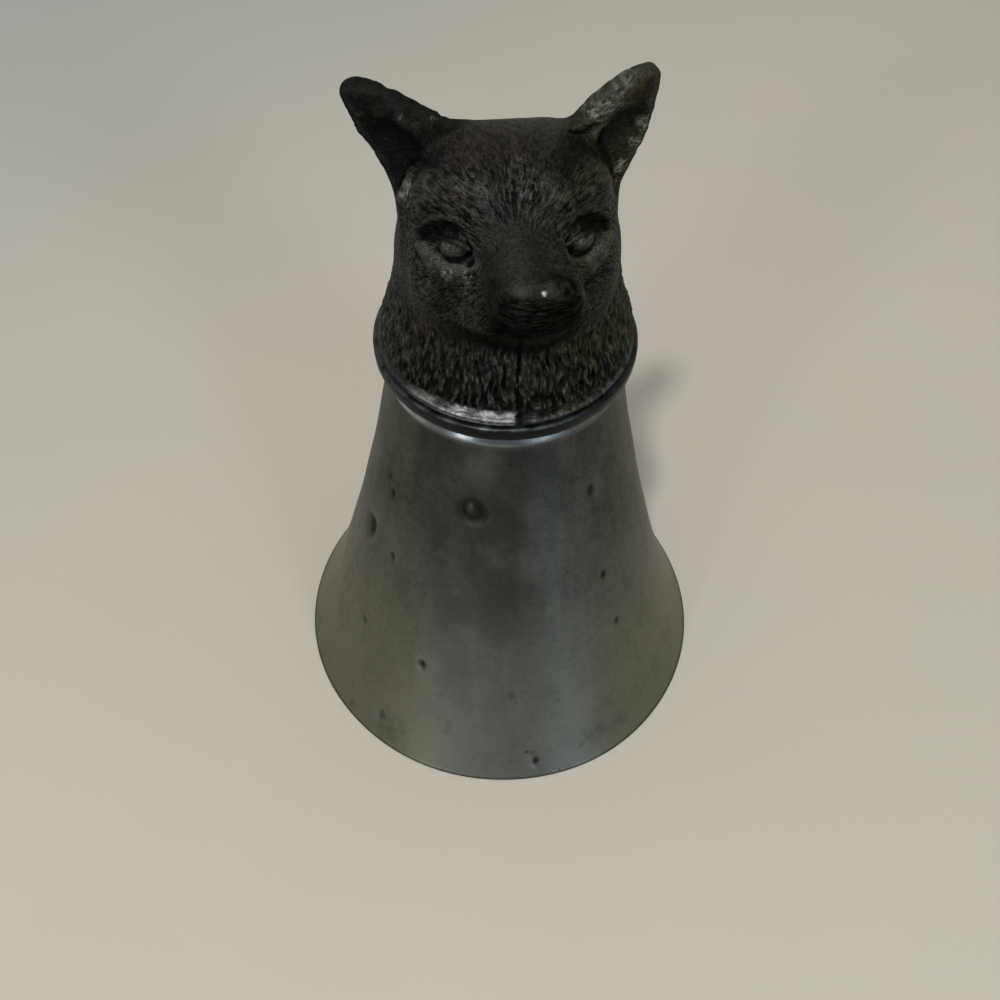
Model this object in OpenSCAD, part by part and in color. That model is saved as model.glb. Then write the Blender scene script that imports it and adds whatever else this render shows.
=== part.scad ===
// Stirrup cup: a spun bell that stands on its mouth, with a cast fox head soldered to its closed end.
// Millimetres. Z is up, the mouth rim lies on z = 0, and the fox looks along -Y.

/* [Bowl] */
// Outer radius of the mouth rim
rim_r = 24; // [21:0.5:28]
// Outer radius of the neck, under the collar
neck_r = 11.1; // [10:0.1:13]
// Height of the bell, from the rim to the shoulder that carries the collar
bowl_h = 47.6; // [40:0.1:56]
// Radius that the bell would have at the rim without its flare
cone_r = 21.8; // [19:0.1:23]
// Bow of the bell's side, where 1 is a straight cone
cone_bow = 1.2; // [1:0.05:1.5]
// Height over which the flare of the mouth dies away
flare_h = 8; // [5:0.5:12]
// Thickness of the spun wall
wall = 1.3; // [0.8:0.1:2]
// Thickness of the closed end
floor_t = 1.6; // [1:0.1:2.5]
// Inside corner radius at the closed end
floor_fillet = 3; // [1:0.5:5]
// Radius of the stub that centres the collar
stub_r = 6; // [4:0.1:7]

/* [Collar] */
// How far the bead stands out past the neck
bead_over = 1.33; // [0.8:0.01:2]
// Height of the collar, which is also the round of its bead
collar_t = 1.8; // [1.2:0.1:2.6]
// Height of the ring that the head drops over
register_h = 1.6; // [1:0.1:3]

/* [Head casting] */
// Bare edge of the collar outside the head's foot
foot_set = 0.5; // [0.2:0.1:1]
// Thickness of the foot that rests on the collar
foot_t = 0.7; // [0.4:0.1:1.2]
// Width of the foot that shows round the ruff
foot_w = 1.1; // [0.5:0.1:1.8]
// Thickness of the cast wall at the ruff
ruff_wall = 2.1; // [1.5:0.1:2.6]
// Thickness of the cast wall over the crown
crown_wall = 2.2; // [1.5:0.1:4]
// Thickness of the cast wall round the dome of the hollow
dome_wall = 1.7; // [1.2:0.1:2.5]
// Drop of the dome's springing below the middle of the skull
dome_drop = 2; // [1:0.1:4]
// Width of the skull
skull_w = 18; // [16:0.1:20]
// Depth of the skull, front to back
skull_d = 15.4; // [14:0.1:18]
// Height of the skull's egg
skull_h = 16.2; // [14:0.1:18]
// Width of the flat of the crown
crown_flat = 6; // [2:0.5:8]
// Height from the foot's seat to the middle of the skull
skull_up = 13.2; // [11:0.1:16]
// Set of the skull in front of the cup's axis
skull_fore = 0.3; // [0:0.1:1.2]

/* [Muzzle] */
// Reach of the muzzle's end in front of the axis
muzzle_reach = 12.6; // [11.5:0.1:15]
// Turn of the muzzle's end to the fox's left
muzzle_turn = 1.5; // [0:0.1:2]
// Width of the muzzle at its end
muzzle_w = 6.4; // [5:0.1:8]
// Height of the muzzle at its end
muzzle_h = 5.4; // [4:0.1:7]
// Drop of the muzzle's middle below the middle of the skull
muzzle_drop = 0.4; // [0:0.1:1.5]
// Depth of the rounded end of the muzzle
muzzle_round = 2; // [1.2:0.1:2.6]
// Width of the muzzle where it leaves the face
muzzle_root_w = 9.4; // [8:0.1:12]
// Height of the muzzle where it leaves the face
muzzle_root_h = 8; // [6:0.1:9]
// Width of the nose pad
nose_w = 3.4; // [2.5:0.1:4.5]
// Thickness of the nose pad
nose_t = 2; // [1.4:0.1:2.6]
// Height of the nose pad above the muzzle's middle
nose_up = 1.5; // [0.8:0.1:2]
// Drop of the chin below the muzzle's middle
chin_drop = 3.6; // [3:0.1:5]
// Set of the chin behind the muzzle's end
chin_set = 1.4; // [0.6:0.1:2]
// Width of the lower jaw at the chin
jaw_w = 5; // [3.5:0.1:6.5]
// Height of the lower jaw at the chin
jaw_h = 3.2; // [2.4:0.1:4]
// Width of the lower jaw where it leaves the face
jaw_root_w = 8.4; // [7:0.1:10]
// Height of the lower jaw where it leaves the face
jaw_root_h = 6; // [4:0.1:7]

/* [Brow] */
// Height of the brow ridge above the middle of the skull
brow_up = 4.5; // [3.5:0.1:5.5]
// Width across the outer ends of the two brow ridges
brow_span = 13.2; // [11:0.1:14]
// Width of the dip between the two brow ridges
brow_gap = 4; // [3:0.1:6]
// Thickness of the brow ridge
brow_t = 2.4; // [1.6:0.1:3]
// Depth of the ridge's inner end behind the face
brow_in_set = 2; // [1.5:0.1:2.5]
// Depth of the ridge's outer end behind the face
brow_out_set = 3.8; // [3:0.1:5]

/* [Ears] */
// Width across the tips of the ears, tip centre to tip centre
ear_span = 22.6; // [19:0.1:25]
// Height of the tip's centre above the middle of the skull
ear_rise = 10.4; // [8:0.1:13]
// Set of the ear's inner root behind the cup's axis
ear_back = 1.4; // [0:0.1:2.5]
// Sweep of the tip behind the inner root
ear_sweep = 1.9; // [0:0.1:4]
// Width of the gap between the inner roots, centre to centre
ear_gap = 10.6; // [9:0.1:12]
// Height of the outer root above the middle of the skull
ear_out_up = 2; // [1:0.1:4]
// Thickness of the ear's rounded edge
ear_t = 2.4; // [1.8:0.1:3]
// Depth of the hollow in the front of the ear
ear_hollow = 1.1; // [0.5:0.1:1.5]

/* [Solder] */
// Size of the solder fillet under the collar
fillet_s = 0.6; // [0.3:0.1:1]
// Width of the solder run inside the head's joint
run_w = 1.8; // [1:0.1:3]
// Thickness of the solder run
run_t = 0.6; // [0.3:0.1:1]

/* [Fits] */
// Radial clearance where one piece slips over another
slip = 0.15; // [0.05:0.05:0.3]
// Clearance between a solder run and the metal behind it
solder_gap = 0.05; // [0.02:0.01:0.1]

/* [Hidden] */
$fn = 96;
// Facets of the rounded forms that are blended into the casting
form_fn = 30;
// Points along each curve of a turned profile
curve_steps = 24;
corner_steps = 8;
// How strongly those points crowd towards the rim
rim_crowding = 1.3;
// Span over which the slope of the bell's side is taken
slope_span = 0.1;
// Small overlap that lets one cut pass through a face
cut = 0.5;

// Levels
seat_z = bowl_h + collar_t;
skull_z = seat_z + skull_up;
crown_z = skull_z + skull_h / 2;

// Radii that follow one another from the neck upwards
collar_r = neck_r + bead_over;
foot_r = collar_r - foot_set;
ruff_r = foot_r - foot_w;
bore_r = ruff_r - ruff_wall;
stub_bore_r = stub_r + slip;
register_r = bore_r - slip;

// Hollow of the head: a tapered bore under an egg-shaped dome
dome_r = min(bore_r, min(skull_w, skull_d) / 2 - skull_fore - dome_wall);
dome_z = skull_z - dome_drop;
dome_h = crown_z - crown_wall - dome_z;

// Middle of the muzzle and of the chin
muzzle_z = skull_z - muzzle_drop;
chin_z = muzzle_z - chin_drop;
face_y = -skull_fore - skull_d / 2;

// Corners of the right ear: inner root, outer root and tip, all at the middle of the edge's round
ear_in = [ear_gap / 2, ear_back, crown_z - ear_t / 2];
ear_out = [skull_w / 2 - ear_t / 4, 0, skull_z + ear_out_up];
ear_tip = [ear_span / 2, ear_back + ear_sweep, skull_z + ear_rise];
ear_mid = (ear_in + ear_out + ear_tip) / 3;
ear_face = cross(ear_out - ear_in, ear_tip - ear_in);
ear_front = -ear_face * sign(ear_face.y) / norm(ear_face);
// Share of the ear's outline that its hollow keeps
hollow_share = 0.58;

pewter = [0.47, 0.47, 0.44];
dark_cast = [0.16, 0.15, 0.14];
solder_grey = [0.60, 0.60, 0.58];

// Outer radius of the bell at a height above the rim
function bell_r(z) =
    neck_r + (cone_r - neck_r) * pow(1 - z / bowl_h, cone_bow) + (rim_r - cone_r) * exp(-z / flare_h);

// Slope of the bell's side, from two points close together
function bell_slope(z) =
    (bell_r(min(z + slope_span / 2, bowl_h)) - bell_r(z - slope_span / 2)) / slope_span;

// Inner radius of the bell, one wall in from the outer face
function bell_in_r(z) = bell_r(z) - wall * sqrt(1 + pow(bell_slope(z), 2));

// Meridian of the head's hollow, drawn in by a margin
function hollow_line(margin) = concat(
    [[bore_r - margin, seat_z]],
    [for (i = [0:corner_steps]) let (a = 90 * i / corner_steps)
        [max((dome_r - margin) * cos(a), 0), dome_z + (dome_h - margin) * sin(a)]]
);

// Spun bell with its closed end and the stub that centres the collar
module cup_bowl() {
    corner_z = bowl_h - floor_t - floor_fillet;
    outer = [for (i = [0:curve_steps]) let (z = bowl_h * pow(i / curve_steps, rim_crowding)) [bell_r(z), z]];
    inner = [for (i = [curve_steps:-1:0]) let (z = corner_z * pow(i / curve_steps, rim_crowding)) [bell_in_r(z), z]];
    corner = [for (i = [corner_steps:-1:1]) let (a = 90 * i / corner_steps)
        [bell_in_r(corner_z) - floor_fillet * (1 - cos(a)), corner_z + floor_fillet * sin(a)]];
    stub = [[stub_r, bowl_h], [stub_r, seat_z + register_h], [0, seat_z + register_h]];
    color(pewter)
        rotate_extrude()
            polygon(concat(outer, stub, [[0, bowl_h - floor_t]], corner, inner));
}

// Turned collar: a round bead outside, and a ring on top that the head drops over
module collar_ring() {
    bead_r = collar_t / 2;
    bead = [for (i = [0:2 * corner_steps]) let (a = 180 * i / (2 * corner_steps) - 90)
        [collar_r - bead_r + bead_r * cos(a), bowl_h + bead_r + bead_r * sin(a)]];
    ring = [
        [register_r, seat_z],
        [register_r, seat_z + register_h],
        [stub_bore_r, seat_z + register_h],
        [stub_bore_r, bowl_h]
    ];
    color(pewter)
        rotate_extrude()
            polygon(concat(bead, ring));
}

// Fillet of solder in the corner between the bell's neck and the collar
module neck_solder() {
    top_z = bowl_h - solder_gap;
    low_z = top_z - fillet_s;
    inner_top = bell_r(top_z) + solder_gap;
    inner_low = bell_r(low_z) + solder_gap;
    color(solder_grey)
        rotate_extrude()
            polygon([[inner_top, top_z], [inner_low, low_z], [inner_top + fillet_s, top_z]]);
}

// Egg with three half-widths
module egg(at, half) {
    translate(at)
        scale(half)
            sphere(r = 1, $fn = form_fn);
}

// Round knob
module knob(at, d) {
    translate(at)
        sphere(d = d, $fn = form_fn);
}

// Ruff rising from the foot into the flat-topped skull
module skull_form() {
    half = [(skull_w - crown_flat) / 2, skull_d / 2, skull_h / 2];
    hull() {
        translate([0, 0, seat_z])
            cylinder(r = ruff_r, h = foot_t, $fn = 2 * form_fn);
        for (side = [-1, 1])
            egg([side * crown_flat / 2, -skull_fore, skull_z], half);
    }
}

// Short blunt muzzle with its nose pad, turned a little to one side, over a lower jaw
module muzzle_form() {
    root_y = face_y + muzzle_round;
    tip_y = muzzle_round - muzzle_reach;
    nose = [muzzle_turn, nose_t / 2 - muzzle_reach, muzzle_z + nose_up];
    hull() {
        egg([0, root_y, muzzle_z], [muzzle_root_w / 2, muzzle_round, muzzle_root_h / 2]);
        egg([muzzle_turn, tip_y, muzzle_z], [muzzle_w / 2, muzzle_round, muzzle_h / 2]);
    }
    hull() {
        egg([0, root_y, chin_z], [jaw_root_w / 2, muzzle_round, jaw_root_h / 2]);
        egg([muzzle_turn, tip_y + chin_set, chin_z], [jaw_w / 2, muzzle_round, jaw_h / 2]);
    }
    hull()
        for (side = [-1, 1])
            knob(nose + [side * (nose_w - nose_t) / 2, 0, 0], nose_t);
}

// Ridge over one eye
module brow_form() {
    hull() {
        knob([brow_gap / 2, face_y + brow_in_set, skull_z + brow_up], brow_t);
        knob([brow_span / 2, face_y + brow_out_set, skull_z + brow_up], brow_t);
    }
}

// Thick triangular ear with a hollow front
module ear_form() {
    difference() {
        hull()
            for (corner = [ear_in, ear_out, ear_tip])
                knob(corner, ear_t);
        hull()
            for (corner = [ear_in, ear_out, ear_tip])
                knob(ear_mid + (corner - ear_mid) * hollow_share + ear_front * ear_t / 2, 2 * ear_hollow);
    }
}

// Whole fox head, hollow and open at its foot
module head_form() {
    difference() {
        union() {
            translate([0, 0, seat_z])
                cylinder(r = foot_r, h = foot_t);
            skull_form();
            muzzle_form();
            for (side = [0, 1])
                mirror([side, 0, 0]) {
                    brow_form();
                    ear_form();
                }
        }
        rotate_extrude()
            polygon(concat([[0, seat_z - cut], [bore_r, seat_z - cut]], hollow_line(0)));
    }
}

// One half of the head, cut on the joint down its middle
module head_half(side) {
    reach = 2 * (ear_span + muzzle_reach);
    color(dark_cast)
        intersection() {
            head_form();
            translate([side * reach / 2, 0, crown_z])
                cube([reach, 2 * reach, 2 * reach], center = true);
        }
}

module head_left() {
    head_half(-1);
}

module head_right() {
    head_half(1);
}

// Run of solder inside the hollow, along the joint of the two halves
module seam_solder() {
    run = hollow_line(solder_gap);
    back = hollow_line(solder_gap + run_t);
    low_z = seat_z + register_h + slip;
    reach = 4 * ruff_r;
    color(solder_grey)
        intersection() {
            rotate_extrude()
                polygon(concat(run, [for (i = [len(back) - 1:-1:0]) back[i]]));
            translate([-run_w / 2, -reach / 2, low_z])
                cube([run_w, reach, reach]);
        }
}

cup_bowl();
collar_ring();
neck_solder();
head_left();
head_right();
seam_solder();
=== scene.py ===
import math

import bmesh
import bpy
import numpy as np
from mathutils import Matrix, Vector


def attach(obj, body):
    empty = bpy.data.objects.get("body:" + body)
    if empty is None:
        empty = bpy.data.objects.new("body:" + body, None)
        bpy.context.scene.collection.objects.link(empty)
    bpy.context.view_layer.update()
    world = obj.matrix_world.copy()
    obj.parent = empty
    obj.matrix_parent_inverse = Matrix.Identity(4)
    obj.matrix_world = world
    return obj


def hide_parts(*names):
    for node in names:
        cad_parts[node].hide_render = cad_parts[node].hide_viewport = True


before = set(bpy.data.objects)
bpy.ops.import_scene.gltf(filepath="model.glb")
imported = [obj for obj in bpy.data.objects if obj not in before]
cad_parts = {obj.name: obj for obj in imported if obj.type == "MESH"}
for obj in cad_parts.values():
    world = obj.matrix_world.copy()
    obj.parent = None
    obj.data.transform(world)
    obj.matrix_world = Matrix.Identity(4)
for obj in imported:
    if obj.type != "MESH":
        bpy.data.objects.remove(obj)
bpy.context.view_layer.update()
scene = bpy.context.scene
mm = 0.001  # shapes are worked out in millimetres and scaled once
print("frame loaded:", ", ".join(sorted(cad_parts)))


class Wire:  # one socket of a node tree; operators between wires add Math nodes
    def __init__(self, tree, socket=None):
        self.tree = tree
        self.socket = socket

    def node(self, kind, settings=None, sockets=None, out=0):
        made = self.tree.nodes.new(kind)
        for name, value in (settings or {}).items():
            setattr(made, name, value)
        for key, value in (sockets or {}).items():
            if isinstance(value, Wire):
                self.tree.links.new(value.socket, made.inputs[key])
            else:
                made.inputs[key].default_value = value
        return Wire(self.tree, made.outputs[out])

    def also(self, name):  # another output of the same node
        return Wire(self.tree, self.socket.node.outputs[name])

    def into(self, shader, name):
        self.tree.links.new(self.socket, shader.inputs[name])

    def math(self, operation, *rest):
        return self.node("ShaderNodeMath", {"operation": operation}, dict(enumerate((self,) + rest)))

    def reflected(self, operation, first):
        return self.node("ShaderNodeMath", {"operation": operation}, {0: first, 1: self})

    def __neg__(self):
        return self.math("MULTIPLY", -1.0)

    def __abs__(self):
        return self.math("ABSOLUTE")

    def least(self, other, soft=0.0):
        return self.math("SMOOTH_MIN", other, soft) if soft else self.math("MINIMUM", other)

    def most(self, other, soft=0.0):
        return self.math("SMOOTH_MAX", other, soft) if soft else self.math("MAXIMUM", other)

    def ramp(self, low, high, start=0.0, end=1.0):  # smooth step from start to end
        return self.node("ShaderNodeMapRange", {"interpolation_type": "SMOOTHSTEP"},
                         {0: self, 1: low, 2: high, 3: start, 4: end})

    def vec(self, operation, other=None):
        sockets = {0: self}
        if other is not None:
            sockets["Scale" if operation == "SCALE" else 1] = other
        out = "Value" if operation in ("LENGTH", "DOT_PRODUCT") else "Vector"
        return self.node("ShaderNodeVectorMath", {"operation": operation}, sockets, out)

    def parts(self):
        x = self.node("ShaderNodeSeparateXYZ", {}, {0: self})
        return x, x.also("Y"), x.also("Z")

    def joined(self, x, y, z):
        return self.node("ShaderNodeCombineXYZ", {}, {0: x, 1: y, 2: z})

    def mixed(self, first, second, how="MIX"):  # colour mix with this wire as the factor
        return self.node("ShaderNodeMix", {"data_type": "RGBA", "blend_type": how},
                         {0: self, 6: first, 7: second}, 2)

    def rotated(self, kind, **sockets):
        return self.node("ShaderNodeVectorRotate", {"rotation_type": kind}, {"Vector": self, **sockets})

    def geo(self, kind, **sockets):  # a geometry node with this geometry going in
        return self.node("GeometryNode" + kind, {}, {"Geometry": self, **sockets})

    def noise(self, scale, detail=2.0, rough=0.5):
        return self.node("ShaderNodeTexNoise", {},
                         {"Vector": self, "Scale": scale, "Detail": detail, "Roughness": rough})

    def cells(self, size="3D"):  # distance to the nearest of scattered points
        return self.node("ShaderNodeTexVoronoi", {"voronoi_dimensions": size}, {"Vector": self, "Scale": 1.0})


# + - * / and ** between wires and numbers
operators = {"add": "ADD", "sub": "SUBTRACT", "mul": "MULTIPLY", "truediv": "DIVIDE", "pow": "POWER"}
for sign, kind in operators.items():
    setattr(Wire, f"__{sign}__", lambda self, other, kind=kind: self.math(kind, other))
    setattr(Wire, f"__r{sign}__", lambda self, other, kind=kind: self.reflected(kind, other))


def newTree(name, inputs):  # a Geometry Nodes tree with named inputs
    tree = bpy.data.node_groups.new(name, "GeometryNodeTree")
    for label, kind in inputs:
        tree.interface.new_socket(name=label, in_out="INPUT", socket_type="NodeSocket" + kind)
    tree.interface.new_socket(name="Geometry", in_out="OUTPUT", socket_type="NodeSocketGeometry")
    start = Wire(tree, tree.nodes.new("NodeGroupInput").outputs[0])
    return tree, start


def endTree(geometry, start):  # smooth, realize, set the material, hand over
    real = geometry.geo("SetShadeSmooth").geo("RealizeInstances")
    done = real.geo("SetMaterial", Material=start.also("Material"))
    last = start.tree.nodes.new("NodeGroupOutput")
    start.tree.links.new(done.socket, last.inputs[0])


def treeMesh(name, tree, values):  # runs a tree once and keeps its plain mesh
    holder = bpy.data.objects.new(name + "Maker", bpy.data.meshes.new(name + "Maker"))
    scene.collection.objects.link(holder)
    maker = holder.modifiers.new("maker", "NODES")
    maker.node_group = tree
    for item in tree.interface.items_tree:
        if item.in_out == "INPUT":
            maker[item.identifier] = values[item.name]
    ready = holder.evaluated_get(bpy.context.evaluated_depsgraph_get())
    mesh = bpy.data.meshes.new_from_object(ready)
    holder.modifiers.clear()
    bpy.data.objects.remove(holder)
    mesh.name = name
    if mesh.materials[0] is None:  # empty slot that the tree leaves before its own
        mesh.materials.pop(index=0)
    return mesh


def newPiece(name, mesh, node):
    piece = bpy.data.objects.new(name, mesh)
    scene.collection.objects.link(piece)
    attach(piece, "root")
    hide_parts(node)
    print(name + ":", sum(len(p.vertices) - 2 for p in mesh.polygons), "triangles")


def newMaterial(name, values):
    material = bpy.data.materials.new(name)
    material.use_nodes = True
    shader = next(n for n in material.node_tree.nodes if n.type == "BSDF_PRINCIPLED")
    for key, value in values.items():
        shader.inputs[key].default_value = value
    wire = Wire(material.node_tree)
    place = wire.node("ShaderNodeTexCoord", {}, {}, "Object").vec("SCALE", 1000.0)  # millimetres
    return material, shader, place


def attribute(wire, name):
    return wire.node("ShaderNodeAttribute", {"attribute_name": name}, {}, "Fac")


def bump(height, shader, strength, depth):
    height.node("ShaderNodeBump", {}, {"Height": height, "Strength": strength, "Distance": depth}
                ).into(shader, "Normal")


# Pewter of the bowl: satin grey, spun round the axis, tarnished, with pits and smudges, painted reflections
# and a painted highlight
pewter = {
    "clean": (0.150, 0.149, 0.132, 1), "dull": (0.038, 0.040, 0.036, 1), "dark": (0.024, 0.023, 0.019, 1),
    "pit": (0.009, 0.009, 0.008, 1), "bright": (0.42, 0.44, 0.44, 1),
    "gloss": 0.40, "matt": 0.46, "spun": 0.74,
    "warm": (1.0, 1.02, 0.93, 1), "cold": (0.97, 1.02, 1.07, 1), "coldReflectionWithin": (11.5, 7.5),  # painted reflection tints: cold where the bowl faces front or back, warm at the sides
    "mottle": (0.16, 5, 0.6), "fine": (1.3, 4, 0.6), "grain": (3.6, 2, 0.7),  # noise: scale, detail, rough
    "spinStretch": (0.12, 0.12, 9.0), "wipeStretch": (0.5, 0.5, 0.05),  # lines round the bell, wipes along it
    "tarnishTop": 40.0, "tarnished": 0.80, "mottled": 0.60, "wiped": 0.55, "speckled": 0.45, "grained": 0.55,
    "speckSize": (0.05, 0.20), "speckDirt": 0.55, "pockSize": (0.05, 0.11), "pockScale": 0.3, "pockDirt": 0.7,
    "smudgeTop": (16.0, 2.0), "smudged": 0.40, "mouthEdge": (0.55, 0.15), "mouthDark": 0.75,
    # bright solder under the collar, with a painted highlight on it, most of it at the fox's right front:
    # each is from, to, value there and there
    "solderHeight": (45.2, 46.6), "highlightAcross": (4.0, -3.0, 0.20, 1.0),
    "highlightAlong": (4.0, -6.0, 0.4, 1.0),
    # painted dark reflection on the front, darkest high up
    "blackRight": (-10.5, -7.0), "blackLeft": (6.0, -1.0), "blackFront": (0.0, -4.0),
    "blackHeight": (6.0, 34.0, 0.08, 1.0), "darkReflection": 0.62,
    "relief": 0.00006,
}


def bowlFinish():
    material, shader, place = newMaterial("bowlPewter", {
        "Metallic": 1.0, "Anisotropic": pewter["spun"], "Anisotropic Rotation": 0.25})
    x, y, z = place.parts()
    mottle, fine, grain = (place.noise(*pewter[name]) for name in ("mottle", "fine", "grain"))
    turned = place.vec("MULTIPLY", pewter["spinStretch"]).noise(1.0, 3, 0.6)
    streak = place.vec("MULTIPLY", pewter["wipeStretch"]).noise(1.0, 3, 0.55)
    tarnish = z.ramp(0.0, pewter["tarnishTop"]) * pewter["tarnished"]
    for pattern, share in ((mottle, "mottled"), (streak, "wiped"), (fine, "speckled"), (grain, "grained")):
        tarnish = tarnish + (pattern - 0.5) * pewter[share]
    tarnish = tarnish.most(0.0).least(1.0)
    specks = place.cells().ramp(*pewter["speckSize"], 1.0, 0.0) * fine.ramp(0.52, 0.62)
    pocks = place.vec("SCALE", pewter["pockScale"]).cells().ramp(*pewter["pockSize"], 1.0, 0.0)
    pocks = pocks * mottle.ramp(0.46, 0.56)
    marks = attribute(place, "grime")  # dirt is plus, a bright chip is minus
    grime = marks.most(specks * pewter["speckDirt"]).most(pocks * pewter["pockDirt"])
    smudge = place.noise(0.45, 3, 0.65).ramp(0.60, 0.78) * z.ramp(*pewter["smudgeTop"])
    # solder under the collar, painted brighter as a highlight at the fox's right front
    solderAndHighlight = z.ramp(*pewter["solderHeight"]) * x.ramp(*pewter["highlightAcross"])
    solderAndHighlight = solderAndHighlight * y.ramp(*pewter["highlightAlong"]) * place.noise(0.3, 2, 0.5).ramp(0.34, 0.62, 0.6, 1.0)
    # painted dark reflection across the front of the bowl, darkest high up
    middle = x.ramp(*pewter["blackRight"]) * x.ramp(*pewter["blackLeft"]) * y.ramp(*pewter["blackFront"])
    paintedDarkReflection = z.ramp(*pewter["blackHeight"]) * middle * mottle.ramp(0.25, 0.60, 0.3, 1.0)

    colour = tarnish.mixed(pewter["clean"], pewter["dull"])
    colour = solderAndHighlight.mixed(colour, pewter["bright"])
    colour = (smudge * pewter["smudged"]).mixed(colour, pewter["dark"])
    colour = (paintedDarkReflection * pewter["darkReflection"]).mixed(colour, pewter["dark"])
    # painted reflection colour: cold near the middle, warm towards the sides
    colour = colour.vec("MULTIPLY", abs(x).ramp(*pewter["coldReflectionWithin"]).mixed(pewter["warm"], pewter["cold"]))
    # darker along the mouth's edge, where it stands on the table
    colour = (z.ramp(*pewter["mouthEdge"]) * pewter["mouthDark"]).mixed(colour, pewter["dark"])
    colour = grime.least(1.0).mixed(colour, pewter["pit"])
    colour = (-marks).most(0.0).mixed(colour, pewter["bright"])
    colour.into(shader, "Base Color")
    rough = tarnish * (pewter["matt"] - pewter["gloss"]) + pewter["gloss"] + grime * 0.2 - solderAndHighlight * 0.12
    (rough + (fine - 0.5) * 0.10).into(shader, "Roughness")
    bump(turned * 0.35 + fine * 0.5 + grain * 0.4 - specks.most(pocks) * 0.8, shader, 0.30, pewter["relief"])
    return material


# Collar bead: the same pewter, worn bright on top and painted lighter on its lit side at the fox's right,
# with painted shade beneath and specks of dirt
collarLook = {
    "bright": (0.058, 0.062, 0.061, 1), "dull": (0.0115, 0.013, 0.014, 1), "dark": (0.009, 0.009, 0.009, 1),
    "wornHeight": (48.95, 49.35), "litSideAcross": (8.0, -4.0, 0.3, 1.0), "shadeHeight": (48.35, 47.75),
    "relief": 0.00008,
}


def collarFinish():
    material, shader, place = newMaterial("collarPewter", {"Metallic": 1.0})
    x, z = place.parts()[::2]
    mottle = place.noise(0.5, 4, 0.6)
    fine = place.noise(2.6, 3, 0.6)
    # worn top, painted lighter as a highlight towards the fox's right where the light falls
    worn = z.ramp(*collarLook["wornHeight"]) * mottle.ramp(0.36, 0.62) * x.ramp(*collarLook["litSideAcross"])
    # painted shade under the bead, with specks of dirt
    dirt = z.ramp(*collarLook["shadeHeight"]) + fine.ramp(0.62, 0.72) * 0.4
    colour = worn.mixed(collarLook["dull"], collarLook["bright"])
    dirt.least(1.0).mixed(colour, collarLook["dark"]).into(shader, "Base Color")
    (0.32 + mottle * 0.25).into(shader, "Roughness")
    bump(fine + mottle, shader, 0.35, collarLook["relief"])
    return material


# Fur: strokes run back from the nose over the face, and down the ruff
fur = {
    "strokes": 92.0, "long": 3.4, "wave": 0.06,  # strokes per radian at unit reach, length to width, waver
    "centre": (0.0, 0.0, 59.5), "parting": 0.56,  # strokes run on rays from here, parted between the eyes
    "ruffWide": 0.39, "ruffLong": 1.10, "ruffWave": 0.11, "ruffRadius": 10.5,  # ruff strokes in mm
    "change": (59.8, 55.4), "changeTilt": 0.12, "changeWave": 3.0,  # heights where face fur turns into ruff
    "faceDepth": 0.06, "ruffDepth": 0.40,
}


def furField(p):  # p in millimetres; gives the height of the strokes and the share of ruff, both 0 to 1
    x, y, z = p.parts()
    rx, ry, rz = p.vec("SUBTRACT", fur["centre"]).vec("NORMALIZE").parts()
    lift = (1.0 + rz).most(0.05)
    fx, fy = rx / lift, ry / lift + fur["parting"]
    wobble = p.noise(0.4, 2.0) - 0.5
    turnAngle = fx.math("ARCTAN2", fy) + wobble * fur["wave"]
    reach = (fx * fx + fy * fy + 0.0004).math("SQRT")
    level = reach.math("LOGARITHM", 2.0)
    ring = level.math("FLOOR")

    def strands(k):  # each doubling of the reach doubles the strokes, so their width stays the same
        count = 2.0 ** k * fur["strokes"]
        along = reach * (fur["strokes"] / fur["long"])
        return p.joined(turnAngle * count, along, k * 7.3).noise(1.0, 2.0, 0.6)

    near, far = strands(ring), strands(ring + 1.0)
    faceFur = (near + (far - near) * (level - ring).ramp(0.40, 0.60)).ramp(0.30, 0.70)
    faceFur = 0.5 + (faceFur - 0.5) * reach.ramp(0.08, 0.34, 0.15, 1.0)  # calmer at the parting

    sweep = x.math("ARCTAN2", -y) + wobble * fur["ruffWave"]
    ruffSpot = p.joined(sweep * (fur["ruffRadius"] / fur["ruffWide"]), z / fur["ruffLong"] + wobble, 0.0)
    ruffRise = 1 - (ruffSpot.cells("2D") / 0.8).least(1.0) ** 1.4
    ruffFine = ruffSpot.vec("MULTIPLY", (1.1, 0.8, 1.0)).noise(1.0, 3.0).ramp(0.30, 0.70)
    ruffFur = ruffRise * 0.45 + ruffFine * 0.55

    low = (z + y * fur["changeTilt"] + wobble * fur["changeWave"]).ramp(*fur["change"])
    return faceFur + (ruffFur - faceFur) * low, low


def ball(p, centre, radius):
    return p.vec("SUBTRACT", centre).vec("LENGTH") - radius


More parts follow.
